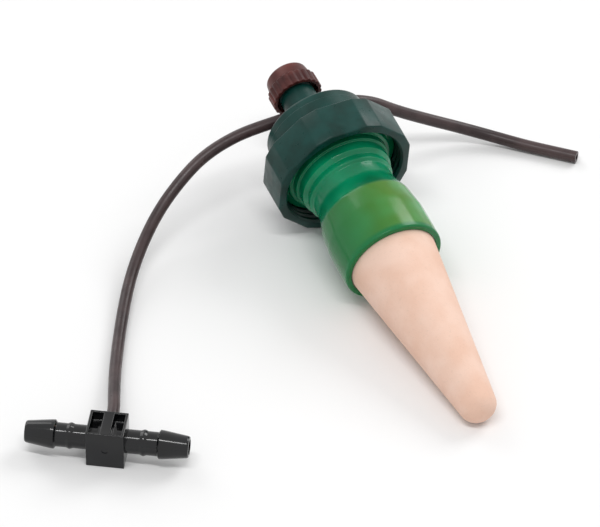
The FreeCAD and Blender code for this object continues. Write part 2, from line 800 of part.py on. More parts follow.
def tee_pockets():
    """Two moulding pockets in the block's top, one each side of its central rib."""
    pockets = []
    width = "(dim.block_width / 2 - dim.pocket_rib / 2 - dim.pocket_wall)"
    floor = "dim.block_height / 2 - dim.pocket_depth"
    for side, low_x in (
        ("left", "-(dim.block_width / 2 - dim.pocket_wall)"),
        ("right", "dim.pocket_rib / 2"),
    ):
        pockets.append(
            box(
                f"tee_pocket_{side}",
                width,
                "dim.block_depth - 2 * dim.pocket_wall",
                "dim.pocket_depth + dim.overrun",
                (low_x, "-(dim.block_depth / 2 - dim.pocket_wall)", floor),
            )
        )
    return pockets


def route_edges(points):
    """Straight runs joined by tangent arcs, each arc as large as its two runs allow."""
    edges = []
    radii = []
    start = points[0]
    for before, corner, after in zip(points, points[1:], points[2:]):
        back = (before - corner).normalize()
        ahead = (after - corner).normalize()
        turn = math.pi - back.getAngle(ahead)
        trim = ARC_SHARE * min(before.distanceToPoint(corner), after.distanceToPoint(corner))
        radius = trim / math.tan(turn / 2)
        inward = (back + ahead).normalize()
        centre = corner + inward * math.hypot(radius, trim)
        middle = centre - inward * radius
        arc_start = corner + back * trim
        arc_end = corner + ahead * trim
        edges.append(Part.LineSegment(start, arc_start).toShape())
        edges.append(Part.Arc(arc_start, middle, arc_end).toShape())
        radii.append(radius)
        start = arc_end
    edges.append(Part.LineSegment(start, points[-1]).toShape())
    return edges, radii


def swept_tube(name, points, radius):
    """Sweep a round section along a route, and compare its volume with section times length."""
    edges, radii = route_edges(points)
    path = Part.Wire(edges)
    along = (points[1] - points[0]).normalize()
    section = Part.Wire([Part.makeCircle(radius, points[0], along)])
    solid = path.makePipeShell([section], True, False)
    expected = math.pi * radius ** 2 * path.Length
    print(f"{name}: length {path.Length:.1f} mm, least radius {min(radii):.1f} mm,", end=" ")
    print(f"volume ratio {solid.Volume / expected:.4f}")
    return solid


def port(side):
    """Where the tube leaves the tower, in the lying frame, on the side of -1 or 1."""
    reach = size("tower_radius") + size("port_stub")
    return lying_placement().multVec(Vector(side * reach, 0, level_of_port()))


def make_outlet_tube():
    """The short free stretch that drips on the soil, from the tower to its bare cut end."""
    start = port(1)
    first = start + Vector(size("exit_run"), 0, 0)
    points = [start, first] + [Vector(*point) for point in OUTLET_ROUTE]
    outer = swept_tube("outlet_tube", points, size("tube_radius"))
    bore = swept_tube("outlet_tube bore", points, tube_bore_radius())
    item = doc.addObject("Part::Feature", "outlet_tube")
    item.Label = "outlet_tube"
    item.Shape = outer.cut(bore)
    return item


def make_supply_tube():
    """The long free stretch from the tower to the tee, swollen where it grips the nipple."""
    start = port(-1)
    first = start - Vector(size("exit_run"), 0, 0)
    tee = tee_placement()
    face = size("block_depth") / 2
    last = tee.multVec(Vector(0, face, 0))
    before_last = tee.multVec(Vector(0, face + size("exit_run"), 0))
    points = [start, first] + [Vector(*point) for point in SUPPLY_ROUTE] + [before_last, last]
    outer = swept_tube("supply_tube", points, size("tube_radius"))
    bore = swept_tube("supply_tube bore", points, tube_bore_radius())
    along = (before_last - last).normalize()
    cuff_radius = size("tube_radius") + size("cuff_swell")
    cuff = Part.makeCylinder(cuff_radius, size("cuff_straight"), last, along)
    flare_foot = last + along * size("cuff_straight")
    flare_length = size("cuff_length") - size("cuff_straight")
    flare = Part.makeCone(cuff_radius, size("tube_radius"), flare_length, flare_foot, along)
    item = doc.addObject("Part::Feature", "supply_tube")
    item.Label = "supply_tube"
    item.Shape = outer.fuse([cuff, flare]).cut(bore).removeSplitter()
    return item


def write_nodes(nodes):
    """Check every object of the document, then write each node to its own file."""
    for item in doc.Objects:
        if "Invalid" in item.State or "Error" in item.State:
            raise ValueError(f"{item.Name} failed: {item.State}")
    os.makedirs("parts", exist_ok=True)
    for node in nodes:
        if node.Shape.isNull() or not node.Shape.isValid():
            raise ValueError(f"{node.Label} has no valid shape")
        node.Shape.exportStep(f"parts/{node.Label}.step")
        bounds = node.Shape.BoundBox
        print(f"{node.Label}: {len(node.Shape.Solids)} solid, volume {node.Shape.Volume:.1f},", end=" ")
        print(f"x {bounds.XMin:.2f} {bounds.XMax:.2f}, y {bounds.YMin:.2f} {bounds.YMax:.2f},", end=" ")
        print(f"z {bounds.ZMin:.2f} {bounds.ZMax:.2f}")


axial_nodes = [
    make_ceramic_cone(),
    make_cement_ring(),
    make_cone_sleeve(),
    make_union_nut(),
    make_diaphragm(),
    make_slip_washer(),
    make_valve_head(),
    make_diaphragm_plunger(),
    make_pressure_pin(),
    make_adjusting_cap(),
    make_valve_tube(),
]
doc.recompute()
for axial_node in axial_nodes:
    axial_node.Placement = lying_placement()
tee_node = make_tee_connector()
doc.recompute()
tee_node.Placement = tee_placement()
tube_nodes = [make_supply_tube(), make_outlet_tube()]
doc.recompute()
write_nodes(axial_nodes + [tee_node] + tube_nodes)
lying = lying_placement()
print("axis", tuple(lying.Rotation.multVec(Vector(0, 0, 1))), "origin", tuple(lying.Base))
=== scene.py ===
"""Self watering spike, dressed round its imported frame.

A porous ceramic cone in a clear green sleeve, a union nut, a valve head with its brown
adjusting cap, and the drip tube with its barbed tee, lying as they are photographed.
"""

import json
import logging
import math
from dataclasses import dataclass
from enum import Enum

import bpy
from mathutils import Matrix, Vector


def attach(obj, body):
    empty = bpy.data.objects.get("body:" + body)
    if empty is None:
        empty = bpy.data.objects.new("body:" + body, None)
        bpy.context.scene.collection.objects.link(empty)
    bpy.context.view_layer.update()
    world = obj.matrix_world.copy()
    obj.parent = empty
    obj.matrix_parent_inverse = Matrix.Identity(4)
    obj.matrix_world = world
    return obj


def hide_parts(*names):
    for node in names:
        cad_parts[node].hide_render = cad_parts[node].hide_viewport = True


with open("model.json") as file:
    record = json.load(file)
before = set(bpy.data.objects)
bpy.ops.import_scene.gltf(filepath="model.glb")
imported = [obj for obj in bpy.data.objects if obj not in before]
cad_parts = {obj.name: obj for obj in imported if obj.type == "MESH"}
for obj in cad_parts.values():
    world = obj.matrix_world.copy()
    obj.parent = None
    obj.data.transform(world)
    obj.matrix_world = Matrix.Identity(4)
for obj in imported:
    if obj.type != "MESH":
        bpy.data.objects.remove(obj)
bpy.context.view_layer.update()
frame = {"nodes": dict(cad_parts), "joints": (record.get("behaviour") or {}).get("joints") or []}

LOG = logging.getLogger("spike")
MM = 0.001
SIDES = 96
SMOOTH_ANGLE = math.radians(32)
MERGE = 0.002 * MM
ARC_STEP = math.radians(11)


class Body(Enum):
    """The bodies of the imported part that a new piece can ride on."""

    ROOT = "root"
    NUT = "union_nut"
    CONE = "cone"
    CAP = "cap"


class Cut(Enum):
    """What a tool does to the piece that it meets."""

    REMOVE = "DIFFERENCE"
    ADD = "UNION"


@dataclass(frozen=True)
class Corner:
    """A corner of a turned outline: its radius, its height and how far it is rounded, in mm."""

    radius: float
    height: float
    round: float = 0.0


@dataclass(frozen=True)
class Photograph:
    """How the photograph looks at the spike, as fitted to it."""

    width: int = 600
    azimuth: float = math.radians(-24.8)
    elevation: float = math.radians(42)
    distance: float = 2.0
    metres_per_pixel: float = 0.00055
    enlargement: float = 2.1
    aim: tuple[float, float, float] = (-0.0129, 0.0231, -0.0069)

    def place_camera(self) -> None:
        """Create the camera at the photograph's viewing angle, nearer in, so the spike fills the frame."""
        data = bpy.data.cameras.new("camera")
        camera = bpy.data.objects.new("camera", data)
        bpy.context.scene.collection.objects.link(camera)
        flat = math.cos(self.elevation)
        away = Vector(
            (
                math.sin(self.azimuth) * flat,
                -math.cos(self.azimuth) * flat,
                math.sin(self.elevation),
            )
        )
        camera.location = Vector(self.aim) + self.distance * away
        camera.rotation_euler = (-away).to_track_quat("-Z", "Y").to_euler()
        pixels = self.distance / self.metres_per_pixel * self.enlargement
        data.sensor_width = 36.0
        data.lens = data.sensor_width * pixels / self.width
        bpy.context.scene.camera = camera


class Shader:
    """A material's node tree, with short ways to add what the finishes need."""

    def __init__(self, name: str) -> None:
        """Make an empty material around one principled shader.

        Args:
            name: the material's name.
        """
        self.material = bpy.data.materials.new(name)
        self.material.use_nodes = True
        self.tree = self.material.node_tree
        self.surface = self.tree.nodes["Principled BSDF"]
        self.coordinates = self.tree.nodes.new("ShaderNodeTexCoord")

    def link(self, source: bpy.types.NodeSocket, target: bpy.types.NodeSocket) -> None:
        """Join two sockets."""
        self.tree.links.new(source, target)

    def set(self, **values: object) -> None:
        """Set constant values on the shader's own sockets, underscores standing for spaces."""
        for key, value in values.items():
            self.surface.inputs[key.replace("_", " ")].default_value = value

    def noise(self, scale: float, detail: float) -> bpy.types.NodeSocket:
        """Add noise on the object's own coordinates.

        Args:
            scale: the noise's scale, per metre.
            detail: the noise's octaves.

        Returns:
            The socket that gives the noise, from 0 to 1.
        """
        noise = self.tree.nodes.new("ShaderNodeTexNoise")
        noise.inputs["Scale"].default_value = scale
        noise.inputs["Detail"].default_value = detail
        self.link(self.coordinates.outputs["Object"], noise.inputs["Vector"])
        return noise.outputs["Fac"]

    def ramp(self, factor: bpy.types.NodeSocket, stops: list) -> bpy.types.NodeSocket:
        """Add a colour ramp.

        Args:
            factor: what drives the ramp.
            stops: pairs of position and linear colour.

        Returns:
            The socket that gives the colour.
        """
        ramp = self.tree.nodes.new("ShaderNodeValToRGB")
        elements = ramp.color_ramp.elements
        while len(elements) < len(stops):
            elements.new(0.5)
        for element, (position, colour) in zip(elements, stops):
            element.position = position
            element.color = (*colour, 1.0)
        self.link(factor, ramp.inputs["Fac"])
        return ramp.outputs["Color"]

    def spread(self, factor: bpy.types.NodeSocket, low: float, high: float) -> bpy.types.NodeSocket:
        """Stretch noise about its middle onto a range of values."""
        node = self.tree.nodes.new("ShaderNodeMapRange")
        node.inputs["From Min"].default_value = 0.3
        node.inputs["From Max"].default_value = 0.7
        node.inputs["To Min"].default_value = low
        node.inputs["To Max"].default_value = high
        self.link(factor, node.inputs["Value"])
        return node.outputs["Result"]

    def along(self, direction: Vector, low: float, high: float) -> bpy.types.NodeSocket:
        """Measure the place in one direction.

        Args:
            direction: a unit vector.
            low: where the socket is 0, from the spike's tip, in mm.
            high: where it is 1.

        Returns:
            The socket that gives the place, from 0 to 1.
        """
        dot = self.tree.nodes.new("ShaderNodeVectorMath")
        dot.operation = "DOT_PRODUCT"
        dot.inputs[1].default_value = direction
        self.link(self.coordinates.outputs["Object"], dot.inputs[0])
        base = direction.dot(Lie.origin)
        node = self.tree.nodes.new("ShaderNodeMapRange")
        node.inputs["From Min"].default_value = base + low * MM
        node.inputs["From Max"].default_value = base + high * MM
        self.link(dot.outputs["Value"], node.inputs["Value"])
        return node.outputs["Result"]

    def level(self, low: float, high: float) -> bpy.types.NodeSocket:
        """Measure the place along the spike's axis, 0 at a low level and 1 at a high one, in mm."""
        return self.along(Lie.up, low, high)

    def across(self, low: float, high: float) -> bpy.types.NodeSocket:
        """Measure the place across the spike, 0 on one side and 1 on the other, in mm."""
        return self.along(Lie.across, low, high)

    def mix(self, factor: object, first: object, second: object) -> bpy.types.NodeSocket:
        """Mix two colours, each a socket or a linear colour, by a socket or a share."""
        node = self.tree.nodes.new("ShaderNodeMix")
        node.data_type = "RGBA"
        for socket, value in ((node.inputs[0], factor), (node.inputs[6], first), (node.inputs[7], second)):
            if isinstance(value, bpy.types.NodeSocket):
                self.link(value, socket)
            elif isinstance(value, tuple):
                socket.default_value = (*value, 1.0)
            else:
                socket.default_value = value
        return node.outputs[2]

    def bump(self, height: bpy.types.NodeSocket, depth: float, strength: float) -> None:
        """Raise the surface by a texture, depth in mm."""
        node = self.tree.nodes.new("ShaderNodeBump")
        node.inputs["Distance"].default_value = depth * MM
        node.inputs["Strength"].default_value = strength
        self.link(height, node.inputs["Height"])
        self.link(node.outputs["Normal"], self.surface.inputs["Normal"])

    def colour(self, source: bpy.types.NodeSocket) -> None:
        """Drive the base colour."""
        self.link(source, self.surface.inputs["Base Color"])

    def roughness(self, source: bpy.types.NodeSocket) -> None:
        """Drive the roughness."""
        self.link(source, self.surface.inputs["Roughness"])


class Lie:
    """How the upright spike is laid down: its tip's place and its axis, read from the nut's joint."""

    NUT_LEVEL = 84.9
    joint = next(joint for joint in frame["joints"] if joint["name"] == "nut_turn")
    up = Vector(joint["axis"]).normalized()
    across = Vector((1, 0, 0))
    origin = Vector(joint["pos_m"]) - up * NUT_LEVEL * MM

    @classmethod
    def matrix(cls) -> Matrix:
        """The matrix from the upright spike, in metres, to the lying one."""
        turn = Matrix((cls.across, cls.up.cross(cls.across), cls.up)).transposed()
        return Matrix.Translation(cls.origin) @ turn.to_4x4()


PORT_LEVEL = Lie.NUT_LEVEL + 24.0


@dataclass(frozen=True)
class MouldedPlastic:
    """An opaque moulded plastic: two close shades, a gloss that varies, and a faint skin."""

    name: str
    dark: tuple[float, float, float]
    light: tuple[float, float, float]
    gloss: tuple[float, float]
    grain: float = 900.0
    grain_depth: float = 0.02
    shine: float = 0.3

    def make(self) -> bpy.types.Material:
        """Build the material."""
        shader = Shader(self.name)
        patches = shader.noise(140, 3)
        shader.colour(shader.ramp(patches, [(0.35, self.dark), (0.65, self.light)]))
        shader.roughness(shader.spread(shader.noise(420, 3), *self.gloss))
        shader.bump(shader.noise(self.grain, 3), self.grain_depth, 0.5)
        shader.set(Specular_IOR_Level=self.shine)
        return shader.material


@dataclass(frozen=True)
class PorousCeramic:
    """Unglazed slip-cast clay: pinkish beige, mottled, with a fine grain and small pits."""

    pale: tuple[float, float, float] = (0.84, 0.60, 0.49)
    warm: tuple[float, float, float] = (0.78, 0.51, 0.39)
    grey: tuple[float, float, float] = (0.60, 0.46, 0.37)

    def make(self) -> bpy.types.Material:
        """Build the material."""
        shader = Shader("porous_ceramic")
        mottle = shader.ramp(shader.noise(95, 4), [(0.38, self.warm), (0.6, self.pale)])
        speckle = shader.ramp(shader.noise(1700, 3), [(0.3, self.grey), (0.42, self.pale)])
        stained = shader.mix(0.18, mottle, speckle)
        # The cone turns greyer in a band towards the sleeve's rim, and on into the sleeve.
        tone_mix = shader.ramp(shader.level(52.8, 54.7), [(0.0, (0, 0, 0)), (1.0, (0.45, 0.45, 0.45))])
        shader.colour(shader.mix(tone_mix, stained, self.grey))
        shader.roughness(shader.spread(shader.noise(600, 2), 0.82, 0.96))
        shader.bump(shader.noise(2300, 4), 0.07, 0.55)
        shader.set(Specular_IOR_Level=0.25)
        return shader.material


@dataclass(frozen=True)
class ClearGreen:
    """The clear green moulding: emerald where it is empty, paler where the cone shows through, with
    painted shade on one side of the sleeve.
    """

    deep: tuple[float, float, float] = (0.001, 0.13, 0.052)
    emerald: tuple[float, float, float] = (0.002, 0.26, 0.115)
    shaded: tuple[float, float, float] = (0.006, 0.155, 0.035)
    olive: tuple[float, float, float] = (0.065, 0.20, 0.015)
    leaf: tuple[float, float, float] = (0.07, 0.34, 0.10)
    rim: tuple[float, float, float] = (0.004, 0.17, 0.045)
    cone_top: float = 71.5
    sleeve_rim: float = 54.5

    def make(self) -> bpy.types.Material:
        """Build the material."""
        shader = Shader("clear_green")
        empty = shader.ramp(shader.noise(70, 2), [(0.36, self.deep), (0.62, self.emerald)])
        tone_mix = shader.ramp(shader.noise(60, 2), [(0.38, self.olive), (0.58, self.leaf)])
        # Painted shade: the sleeve over the cone turns darker towards one side across the spike, the side
        # away from the light.
        shaded_across = shader.mix(shader.across(-13, 3), self.shaded, tone_mix)
        edge = shader.level(self.sleeve_rim + 0.9, self.sleeve_rim + 1.9)
        sleeve = shader.mix(edge, self.rim, shaded_across)
        boundary = shader.level(self.cone_top - 0.5, self.cone_top + 0.7)
        shader.colour(shader.mix(boundary, sleeve, empty))
        shader.roughness(shader.spread(shader.noise(380, 2), 0.13, 0.24))
        shader.bump(shader.noise(650, 2), 0.015, 0.4)
        shader.set(
            IOR=1.49,
            Specular_IOR_Level=0.25,
            Transmission_Weight=0.08,
            Subsurface_Weight=0.2,
            Subsurface_Radius=(0.3, 1.0, 0.4),
            Subsurface_Scale=0.002,
            Coat_Weight=0.05,
            Coat_Roughness=0.08,
        )
        return shader.material


DARK_GREEN = MouldedPlastic(
    "dark_green", (0.002, 0.024, 0.019), (0.004, 0.045, 0.038), (0.26, 0.4), shine=0.22
)
BROWN = MouldedPlastic(
    "brown_cap", (0.045, 0.008, 0.007), (0.115, 0.026, 0.021), (0.3, 0.45), 1300, 0.04, shine=0.25
)
BLACK = MouldedPlastic(
    "black_tee", (0.0015, 0.0016, 0.002), (0.004, 0.0045, 0.006), (0.08, 0.16), shine=0.42
)
TUBE = MouldedPlastic("tube", (0.028, 0.017, 0.018), (0.062, 0.040, 0.040), (0.26, 0.42), 1100, 0.02)
NATURAL = MouldedPlastic("natural_plastic", (0.66, 0.64, 0.58), (0.78, 0.76, 0.70), (0.4, 0.55))
RUBBER = MouldedPlastic("rubber", (0.008, 0.008, 0.008), (0.018, 0.018, 0.018), (0.6, 0.75), 1500, 0.05)
CEMENT = MouldedPlastic("cement", (0.48, 0.46, 0.38), (0.62, 0.60, 0.52), (0.8, 0.95), 2000, 0.08)


def only(piece: bpy.types.Object) -> None:
    """Select one object alone and make it active.

    Args:
        piece: the object.
    """
    bpy.ops.object.select_all(action="DESELECT")
    piece.select_set(True)
    bpy.context.view_layer.objects.active = piece


def rounded(corners: list[Corner]) -> list[tuple[float, float]]:
    """Turn an outline's corners into points, with an arc at each rounded corner.

    Args:
        corners: the outline's corners in order, in mm.

    Returns:
        Points as pairs of radius and height, in mm.
    """
    points = []
    for index, corner in enumerate(corners):
        here = Vector((corner.radius, corner.height))
        if corner.round == 0 or index in (0, len(corners) - 1):
            points.append((here.x, here.y))
            continue
        before = Vector((corners[index - 1].radius, corners[index - 1].height))
        after = Vector((corners[index + 1].radius, corners[index + 1].height))
        back = (before - here).normalized()
        ahead = (after - here).normalized()
        opening = back.angle(ahead)
        trim = corner.round / math.tan(opening / 2)
        centre = here + (back + ahead).normalized() * corner.round / math.sin(opening / 2)
        start = here + back * trim - centre
        sweep = start.angle_signed(here + ahead * trim - centre)
        steps = max(2, math.ceil(abs(sweep) / ARC_STEP))
        for step in range(steps + 1):
            angle = -sweep * step / steps
            turned = Matrix.Rotation(angle, 2) @ start
            points.append((centre.x + turned.x, centre.y + turned.y))
    return points


def thread(radius: float, depth: float, low: float, high: float, turns: int) -> list[Corner]:
    """Give the corners of a thread's ridges, seen in section, in mm.

    Args:
        radius: the radius between the ridges.
        depth: how far the ridges stand out.
        low: where the thread starts.
        high: where it ends.
        turns: the number of ridges.

    Returns:
        The outline's corners.
    """
    pitch = (high - low) / turns
    ridges = []
    for turn in range(turns):
        foot = low + turn * pitch
        ridges.append(Corner(radius, foot))
        ridges.append(Corner(radius + depth, foot + pitch * 0.3))
        ridges.append(Corner(radius + depth, foot + pitch * 0.5))
        ridges.append(Corner(radius, foot + pitch * 0.8))
    return ridges


def rod(radius: float, low: float, high: float) -> list[Corner]:
    """Give the corners of a plain rod between two levels, in mm.

    Args:
        radius: the rod's radius.
        low: where it starts.
        high: where it ends.

    Returns:
        The outline's corners.
    """
    return [Corner(0, low), Corner(radius, low), Corner(radius, high), Corner(0, high)]


def turn_outline(name: str, corners: list[Corner], sides: int = SIDES) -> bpy.types.Object:
    """Draw an outline by extruding one vertex from point to point, and spin it about the axis.

    Args:
        name: the piece's name.
        corners: the outline, in mm. It starts and ends on the axis, or where it started.
        sides: the number of steps round the axis.

    Returns:
        The turned piece, upright.
    """
    points = rounded(corners)
    bpy.ops.object.select_all(action="DESELECT")
    bpy.ops.mesh.primitive_plane_add(size=MM)
    piece = bpy.context.object
    piece.name = name
    bpy.ops.object.mode_set(mode="EDIT")
    bpy.ops.mesh.select_all(action="SELECT")
    bpy.ops.mesh.merge(type="CENTER")
    bpy.ops.transform.translate(value=(points[0][0] * MM, 0, points[0][1] * MM))
    for here, there in zip(points, points[1:]):
        step = ((there[0] - here[0]) * MM, 0, (there[1] - here[1]) * MM)
        bpy.ops.mesh.extrude_region_move(TRANSFORM_OT_translate={"value": step})
    bpy.ops.mesh.select_all(action="SELECT")
    bpy.ops.mesh.spin(steps=sides, angle=2 * math.pi, center=(0, 0, 0), axis=(0, 0, 1))
    bpy.ops.mesh.select_all(action="SELECT")
    bpy.ops.mesh.remove_doubles(threshold=MERGE)
    bpy.ops.mesh.normals_make_consistent(inside=False)
    bpy.ops.object.mode_set(mode="OBJECT")
    return piece


def block(name: str, size: tuple, centre: tuple) -> bpy.types.Object:
    """Make a block from a cube.

    Args:
        name: the piece's name.
        size: its sides, in mm.
        centre: its middle, in mm.

    Returns:
        The block.
    """
    bpy.ops.object.select_all(action="DESELECT")
    bpy.ops.mesh.primitive_cube_add(size=MM, location=tuple(value * MM for value in centre))
    piece = bpy.context.object
    piece.name = name
    piece.scale = size
    bpy.ops.object.transform_apply(location=True, rotation=True, scale=True)
    return piece


def meet(piece: bpy.types.Object, tool: bpy.types.Object, how: Cut) -> None:
    """Apply a boolean of a tool to a piece, and delete the tool.

    Args:
        piece: what is cut or added to.
        tool: what cuts it or is added.
        how: what the tool does.
    """
    only(piece)
    modifier = piece.modifiers.new(how.name, "BOOLEAN")
    modifier.object = tool
    modifier.operation = how.value
    modifier.solver = "EXACT"
    bpy.ops.object.modifier_apply(modifier=modifier.name)
    bpy.data.objects.remove(tool)


def soften(piece: bpy.types.Object, width: float, angle: float = 40.0) -> None:
    """Round a piece's sharp edges with an applied bevel.

    Args:
        piece: the piece.
        width: the bevel's width, in mm.
        angle: edges sharper than this are rounded, in degrees.
    """
    only(piece)
    modifier = piece.modifiers.new("soften", "BEVEL")
    modifier.width = width * MM
    modifier.segments = 3
    modifier.limit_method = "ANGLE"
    modifier.angle_limit = math.radians(angle)
    bpy.ops.object.modifier_apply(modifier=modifier.name)


def settle(piece: bpy.types.Object, place: Matrix, finish: bpy.types.Material) -> None:
    """Put a piece's place into its mesh, smooth it and dress it.

    Args:
        piece: the piece.
        place: the matrix that its mesh takes up.
        finish: its material.
    """
    piece.data.transform(place)
    piece.data.update()
    only(piece)
    bpy.ops.object.shade_smooth_by_angle(angle=SMOOTH_ANGLE)
    piece.data.materials.clear()
    piece.data.materials.append(finish)


def hand_over(piece: bpy.types.Object, body: Body, slot: str, *nodes: str) -> None:
    """Ride a piece on its body in place of its nodes, and report it.

    Args:
        piece: the piece.
        body: the body that it moves with.
        slot: the record's material slot, not used.
        nodes: the nodes that it stands for.
    """
    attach(piece, body.value)
    if nodes:
        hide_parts(*nodes)
    LOG.info("%s rides on %s, %d faces", piece.name, body.value, len(piece.data.polygons))


@dataclass
class Cone:
    """The ceramic cone and its clear sleeve, which unscrew from the head together."""

    exposed: float = 54.5
    socket: float = 17.0
    mouth: float = 11.8
    tip_end: float = 4.5
    tip_round: float = 4.15
    wall: float = 3.2
    floor: float = 8.0
    bore_tip: float = 2.5
    gap: float = 0.25
    rim_recess: float = 3.0

    def build(self, ceramic: bpy.types.Material, clear: bpy.types.Material) -> None:
        """Build and dress the cone and the sleeve."""
        self.build_ceramic(ceramic)
        self.build_sleeve(clear)

    def build_ceramic(self, finish: bpy.types.Material) -> None:
        """Turn the porous cup, rounded at its tip and hollow."""
        top = self.exposed + self.socket
        bore = self.mouth - self.wall
        corners = [
            Corner(0, 0),
            Corner(self.tip_end, 0, self.tip_round),
            Corner(self.mouth, self.exposed, 3),
            Corner(self.mouth, top, 0.6),
            Corner(bore, top, 0.6),
            Corner(bore, self.exposed),
            Corner(self.bore_tip, self.floor, 1.2),
            Corner(0, self.floor),
        ]
        piece = turn_outline("cone_ceramic", corners)
        settle(piece, Lie.matrix(), finish)
        hand_over(piece, Body.CONE, "ceramic", "ceramic_cone")

    def build_sleeve(self, finish: bpy.types.Material) -> None:
        """Turn the clear moulding: sleeve, waisted neck, stepped collar and threaded rim."""
        socket = self.mouth + self.gap
        outer = socket + 1.5
        top = self.exposed + self.socket
        rim = Lie.NUT_LEVEL + self.rim_recess
        rim_top = rim + 3.2
        corners = [
            Corner(socket, self.exposed),
            Corner(outer, self.exposed, 0.55),
            Corner(outer, self.exposed + 10.7, 10.7),
            Corner(12.8, self.exposed + 16.9, 4),
            Corner(11.1, self.exposed + 21.9, 5),
            Corner(11.1, rim - 7.7, 0.5),
            Corner(11.8, rim - 7.1, 0.3),
            Corner(11.8, rim - 6.2, 0.3),
            Corner(11.6, rim - 5.8, 0.3),
            Corner(11.6, rim - 5.2, 0.3),
            Corner(12.6, rim - 4.4, 0.35),
            Corner(12.6, rim - 1.8, 0.3),
            Corner(13.3, rim - 1.8, 0.25),
            Corner(13.3, rim, 0.2),
            Corner(14.5, rim, 0.5),
            Corner(14.5, rim + 1.4, 0.2),
            Corner(16.2, rim + 1.4, 0.3),
            Corner(16.2, rim_top, 0.3),
            Corner(10.9, rim_top),
            Corner(10.9, rim_top - 3.6),
            Corner(9.4, rim_top - 3.6),
            Corner(9.4, top + 1.7),
            Corner(self.mouth - self.wall, top),
            Corner(socket, top),
            Corner(socket, self.exposed),
        ]
        piece = turn_outline("sleeve_moulding", corners)
        settle(piece, Lie.matrix(), finish)
        hand_over(piece, Body.CONE, "clear_green", "cone_sleeve")


@dataclass
class UnionNut:
    """The grip collar: eight wide flats and eight narrow ones, and a thread in its mouth."""

    foot: float = Lie.NUT_LEVEL
    height: float = 10.4
    wide: float = 18.45
    narrow: float = 19.0
    thread_radius: float = 16.25
    lip_bore: float = 14.05
    lip_face: float = Lie.NUT_LEVEL + 8.75
    edge: float = 0.4
    mouth_bevel: float = 0.5
    thread_depth: float = 0.45

    def build(self, finish: bpy.types.Material) -> None:
        """Build and dress the nut."""
        piece = self.flats()
        soften(piece, self.edge, 12)
        top = self.foot + self.height
        bevel = self.mouth_bevel
        corners = [
            Corner(0, self.foot - 1),
            Corner(self.thread_radius + bevel + 1, self.foot - 1),
            Corner(self.thread_radius, self.foot + bevel),
            *thread(self.thread_radius, self.thread_depth, self.foot + 0.9, self.lip_face - 1.2, 4),
            Corner(self.thread_radius, self.lip_face),
            Corner(self.lip_bore, self.lip_face),
            Corner(self.lip_bore, top - bevel),
            Corner(self.lip_bore + bevel + 1, top + 1),
            Corner(0, top + 1),
        ]
        meet(piece, turn_outline("nut_inside", corners), Cut.REMOVE)
        settle(piece, Lie.matrix(), finish)
        hand_over(piece, Body.NUT, "dark_green", "union_nut")

    def flats(self) -> bpy.types.Object:
        """Make the sixteen-sided ring of flats from a cylinder whose corners are moved out.

        Returns:
            The closed prism, upright.
        """
        bpy.ops.object.select_all(action="DESELECT")
        bpy.ops.mesh.primitive_cylinder_add(
            vertices=16,
            radius=self.wide * MM,
            depth=self.height * MM,
            location=(0, 0, (self.foot + self.height / 2) * MM),
        )
        piece = bpy.context.object
        piece.name = "nut_moulding"
        bpy.ops.object.transform_apply(location=True)
        eighth = math.pi / 4
        split = self.corner_angle()
        radius = self.wide / math.cos(split) * MM
        ring = sorted(piece.data.vertices, key=lambda vertex: math.atan2(vertex.co.y, vertex.co.x))
        for index, vertex in enumerate(ring):
            number = index // 2
            side = -1 if number % 2 else 1
            angle = -math.pi + (number // 2 + (number % 2)) * eighth + side * split
            vertex.co.x = radius * math.cos(angle)
            vertex.co.y = radius * math.sin(angle)
        return piece

    def corner_angle(self) -> float:
        """Half the angle that a wide flat spans, from where it meets a narrow one."""
        turn = math.pi / 8
        tangent = (self.narrow / self.wide - math.cos(turn)) / math.sin(turn)
        return math.atan(tangent)


@dataclass
class ValveHead:
    """The head under the nut's lip, with the tower that the tube passes through."""

    radius: float = 14.0
    foot: float = Lie.NUT_LEVEL + 7.4
    flange: float = 15.9
    flange_top: float = Lie.NUT_LEVEL + 8.7
    top: float = Lie.NUT_LEVEL + 19.1
    roof: float = 2.6
    chamber: float = 11.6
    tower: float = 4.8
    tower_top: float = Lie.NUT_LEVEL + 34.1
    bore: float = 2.05
    guide: float = 3.9
    port: float = PORT_LEVEL
    hole: float = 1.65
    hole_reach: float = 8.0

    def build(self, finish: bpy.types.Material) -> None:
        """Build and dress the head."""
        ceiling = self.top - self.roof
        corners = [
            Corner(self.chamber, self.foot),
            Corner(self.flange, self.foot),
            Corner(self.flange, self.flange_top),
            Corner(self.radius, self.flange_top),
            Corner(self.radius, self.top - 2.6, 0.15),
            Corner(self.radius - 0.15, self.top - 2.4, 0.15),
            Corner(self.radius - 0.15, self.top, 0.9),
            Corner(self.tower + 2.4, self.top, 0.4),
            Corner(self.tower + 2.0, self.top + 0.5, 0.4),
            Corner(self.tower, self.top + 0.5, 0.5),
            Corner(self.tower, self.tower_top - 4.3),
            *thread(self.tower - 0.35, 0.35, self.tower_top - 4.1, self.tower_top - 0.5, 4),
            Corner(self.tower - 0.35, self.tower_top, 0.3),
            Corner(self.bore, self.tower_top),
            Corner(self.bore, ceiling - 2.6),
            Corner(self.guide, ceiling - 2.6),
            Corner(self.guide, ceiling),
            Corner(self.chamber, ceiling, 1),
            Corner(self.chamber, self.foot),
        ]
        piece = turn_outline("head_moulding", corners)
        hole = turn_outline("head_hole", rod(self.hole, -self.hole_reach, self.hole_reach), 32)
        across = Matrix.Rotation(math.pi / 2, 4, "Y")
        hole.data.transform(Matrix.Translation((0, 0, self.port * MM)) @ across)
        meet(piece, hole, Cut.REMOVE)
        settle(piece, Lie.matrix(), finish)
        hand_over(piece, Body.ROOT, "dark_green", "valve_head")


